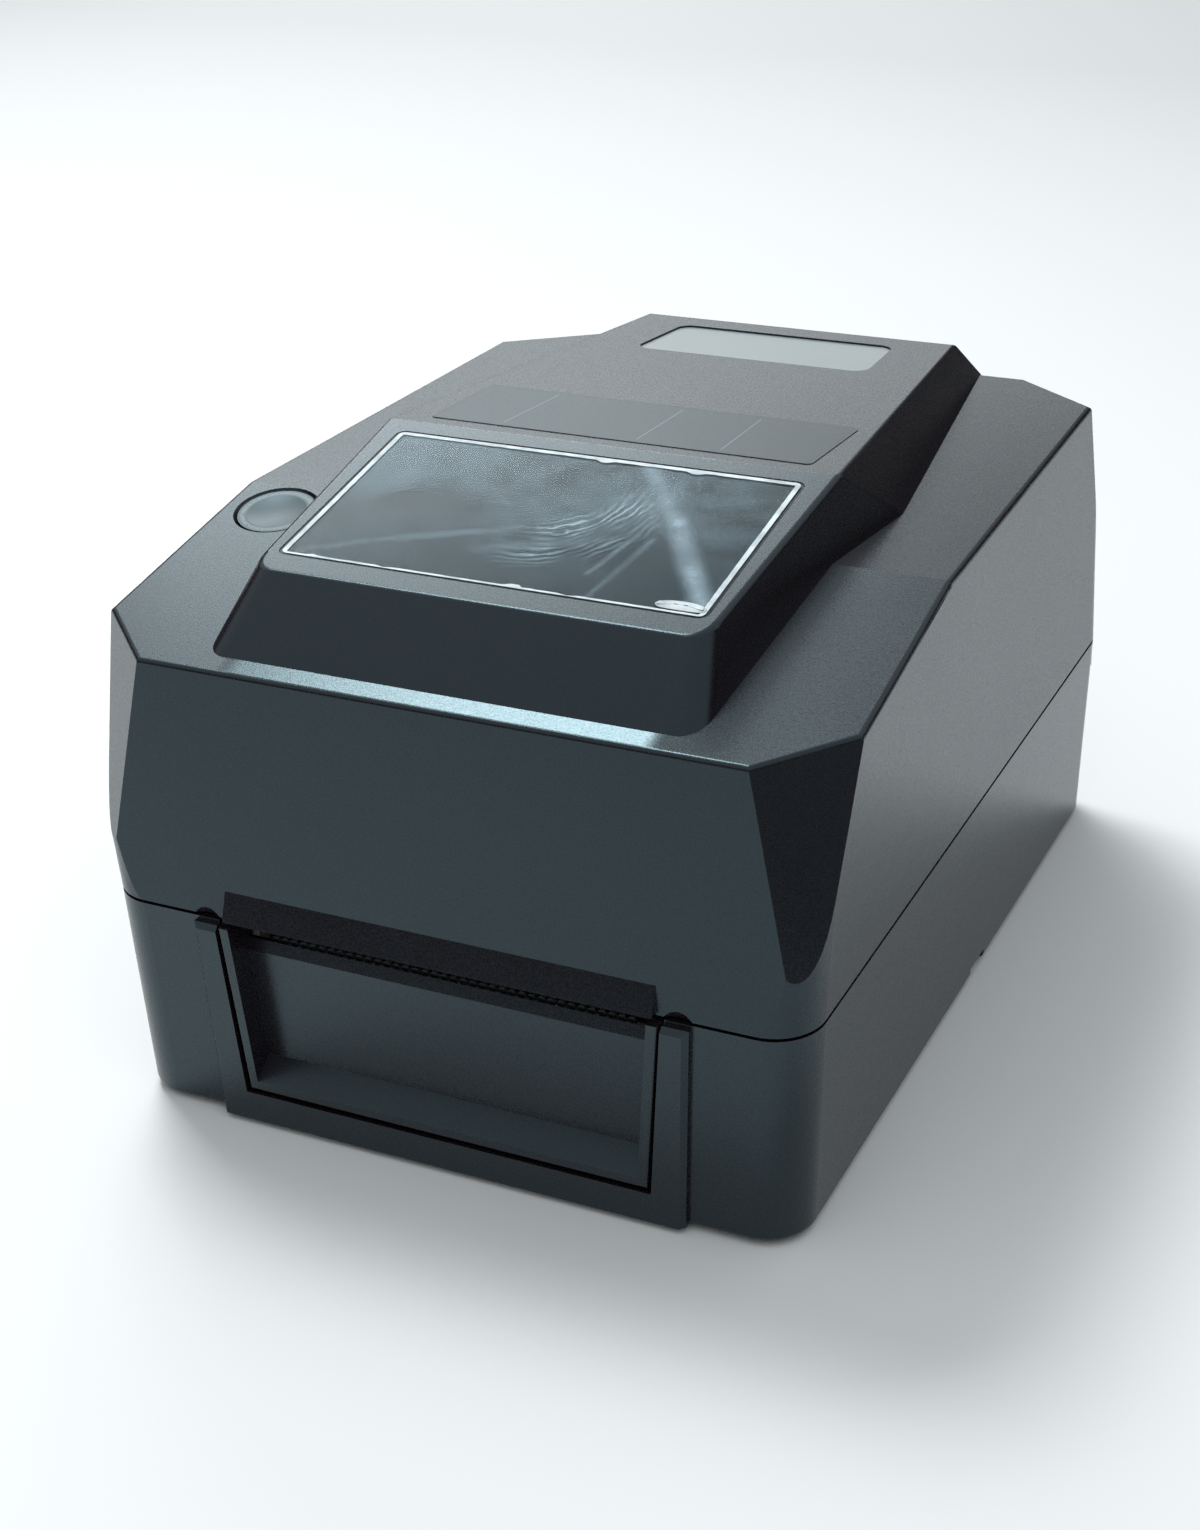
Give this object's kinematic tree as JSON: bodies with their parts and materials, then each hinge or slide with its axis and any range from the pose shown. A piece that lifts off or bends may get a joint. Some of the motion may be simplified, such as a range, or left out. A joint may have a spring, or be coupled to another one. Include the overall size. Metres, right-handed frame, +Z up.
{
  "type": "thermal transfer label printer",
  "caption": "Desktop thermal transfer label printer with a hinged faceted cover, a large window, a feed button and a full print mechanism inside",
  "frame": {"origin": "middle of the footprint, on the surface the feet stand on", "axes": "+X to the right seen from the front, -Y towards the user, +Z up"},
  "size_m": [0.2256, 0.28, 0.1744],
  "materials": {
    "casing_plastic": "fine-grained dark charcoal moulding",
    "cover_plastic": "fine-grained charcoal moulding",
    "panel_plastic": "finely textured dark moulding",
    "rubber": "black rubber",
    "clear_panes": "smoky clear plastic",
    "film": "clear protective film",
    "pale_pane": "pale translucent plastic",
    "label_stock": "bare dark grey label stock",
    "button_plastic": "satin black cap",
    "ring_plastic": "pale ring",
    "steel": "ground steel",
    "sheet_steel": "zinc-plated sheet",
    "aluminium": "extruded aluminium",
    "ceramic": "glazed ceramic board",
    "gear_plastic": "natural acetal",
    "inner_plastic": "dark inner moulding",
    "guide_plastic": "blue touch-point plastic",
    "board": "green circuit board",
    "connector_plastic": "black connector",
    "connector_metal": "plated shell",
    "motor_paint": "black motor can",
    "brass": "sintered bush"
  },
  "bodies": {
    "base": {"base_housing": "casing_plastic", "feet": "rubber", "deck_pillars": "steel", "front_panel": "panel_plastic", "tear_bar": "sheet_steel", "side_plate_left": "sheet_steel", "side_plate_right": "sheet_steel", "cross_bar": "sheet_steel", "ribbon_guide_bar": "steel", "platen_bushings": "gear_plastic", "head_springs": "steel", "idler_studs": "steel", "drive_motor": "motor_paint", "motor_screws": "steel", "mechanism_screws": "steel", "paper_deck": "inner_plastic", "sensor_rail": "steel", "media_tray": "inner_plastic", "pinion_clips": "steel", "side_trim_left": "inner_plastic", "side_trim_right": "inner_plastic", "main_board": "board", "power_jack": "connector_plastic", "usb_port": "connector_metal", "network_port": "connector_metal", "switch_housing": "connector_plastic"},
    "cover": {"top_cover": "cover_plastic", "front_window": "clear_panes", "window_film": "film", "rear_window": "pale_pane", "cover_label": "label_stock", "button_board": "board", "button_screws": "steel", "hinge_pins": "steel"},
    "feed_button": {"button_cap": "button_plastic", "button_ring": "ring_plastic"},
    "head": {"head_bracket": "aluminium", "print_head": "ceramic", "pivot_shaft": "steel"},
    "lever": {"head_lever": "guide_plastic", "cam_shaft": "steel"},
    "platen": {"platen_roller": "rubber", "platen_shaft": "steel", "platen_gear": "gear_plastic"},
    "pinion": {"motor_pinion": "brass"},
    "drive_idler": {"drive_idler": "gear_plastic"},
    "rewind_idler": {"rewind_idler": "gear_plastic"},
    "rewind": {"rewind_spindle": "inner_plastic", "rewind_gear": "gear_plastic"},
    "supply": {"supply_spindle": "inner_plastic"},
    "holder_left": {"roll_holder_left": "guide_plastic"},
    "holder_right": {"roll_holder_right": "guide_plastic"},
    "holder_pinion": {"roll_pinion": "gear_plastic"},
    "guide_left": {"label_guide_left": "guide_plastic"},
    "guide_right": {"label_guide_right": "guide_plastic"},
    "guide_pinion": {"guide_pinion": "gear_plastic"},
    "sensor": {"gap_sensor": "connector_plastic"},
    "rocker": {"power_rocker": "connector_plastic"}
  },
  "joints": [
    {"name": "cover_hinge", "type": "hinge", "parent": "base", "child": "cover", "pos_m": [0, 0.1347, 0.0671], "axis": [-1, 0, 0], "range_deg": [0, 95]},
    {"name": "feed_button_press", "type": "slide", "parent": "cover", "child": "feed_button", "axis": [0, 0.1613, -0.9869], "range_m": [0, 0.001], "stiffness_N_per_m": 400},
    {"name": "head_lever_turn", "type": "hinge", "parent": "base", "child": "lever", "pos_m": [0, -0.028, 0.086], "axis": [-1, 0, 0], "range_deg": [0, 80]},
    {"name": "head_lift", "type": "hinge", "parent": "base", "child": "head", "pos_m": [0, -0.052, 0.076], "axis": [-1, 0, 0], "range_deg": [0, 9], "deforming": ["head_springs"]},
    {"name": "platen_turn", "type": "hinge", "parent": "base", "child": "platen", "pos_m": [0, -0.118, 0.054], "axis": [1, 0, 0], "continuous": true},
    {"name": "drive_idler_turn", "type": "hinge", "parent": "base", "child": "drive_idler", "pos_m": [0, -0.08564, 0.03822], "axis": [1, 0, 0], "continuous": true},
    {"name": "motor_turn", "type": "hinge", "parent": "base", "child": "pinion", "pos_m": [0, -0.05954, 0.02605], "axis": [1, 0, 0], "continuous": true},
    {"name": "rewind_idler_turn", "type": "hinge", "parent": "base", "child": "rewind_idler", "pos_m": [0, -0.09988, 0.083], "axis": [1, 0, 0], "continuous": true},
    {"name": "rewind_turn", "type": "hinge", "parent": "base", "child": "rewind", "pos_m": [0, -0.08695, 0.11852], "axis": [1, 0, 0], "continuous": true},
    {"name": "supply_turn", "type": "hinge", "parent": "base", "child": "supply", "pos_m": [0, -0.024, 0.121], "axis": [1, 0, 0], "continuous": true},
    {"name": "roll_holder_left_slide", "type": "slide", "parent": "base", "child": "holder_left", "axis": [1, 0, 0], "range_m": [0, 0.035]},
    {"name": "roll_holder_right_slide", "type": "slide", "parent": "base", "child": "holder_right", "axis": [-1, 0, 0], "range_m": [0, 0.035]},
    {"name": "roll_pinion_turn", "type": "hinge", "parent": "base", "child": "holder_pinion", "pos_m": [0, 0.064, 0], "axis": [0, 0, 1], "range_deg": [0, 168]},
    {"name": "label_guide_left_slide", "type": "slide", "parent": "base", "child": "guide_left", "axis": [1, 0, 0], "range_m": [0, 0.035]},
    {"name": "label_guide_right_slide", "type": "slide", "parent": "base", "child": "guide_right", "axis": [-1, 0, 0], "range_m": [0, 0.035]},
    {"name": "guide_pinion_turn", "type": "hinge", "parent": "base", "child": "guide_pinion", "pos_m": [0, -0.032, 0], "axis": [0, 0, 1], "range_deg": [0, 209]},
    {"name": "gap_sensor_slide", "type": "slide", "parent": "base", "child": "sensor", "axis": [1, 0, 0], "range_m": [-0.04, 0.04]},
    {"name": "power_rocker_rock", "type": "hinge", "parent": "base", "child": "rocker", "pos_m": [0.084, 0.133, 0.034], "axis": [1, 0, 0], "range_deg": [0, 18]}
  ],
  "couplings": [
    {"joint": "head_lift", "follows": "head_lever_turn", "ratio": 0.1125},
    {"joint": "drive_idler_turn", "follows": "platen_turn", "ratio": -0.66667},
    {"joint": "motor_turn", "follows": "platen_turn", "ratio": 2},
    {"joint": "rewind_idler_turn", "follows": "platen_turn", "ratio": -0.72727},
    {"joint": "rewind_turn", "follows": "platen_turn", "ratio": 0.8},
    {"joint": "roll_holder_right_slide", "follows": "roll_holder_left_slide", "ratio": 1},
    {"joint": "roll_pinion_turn", "follows": "roll_holder_left_slide", "rad_per_m": 83.333},
    {"joint": "label_guide_right_slide", "follows": "label_guide_left_slide", "ratio": 1},
    {"joint": "guide_pinion_turn", "follows": "label_guide_left_slide", "rad_per_m": 104.17}
  ]
}
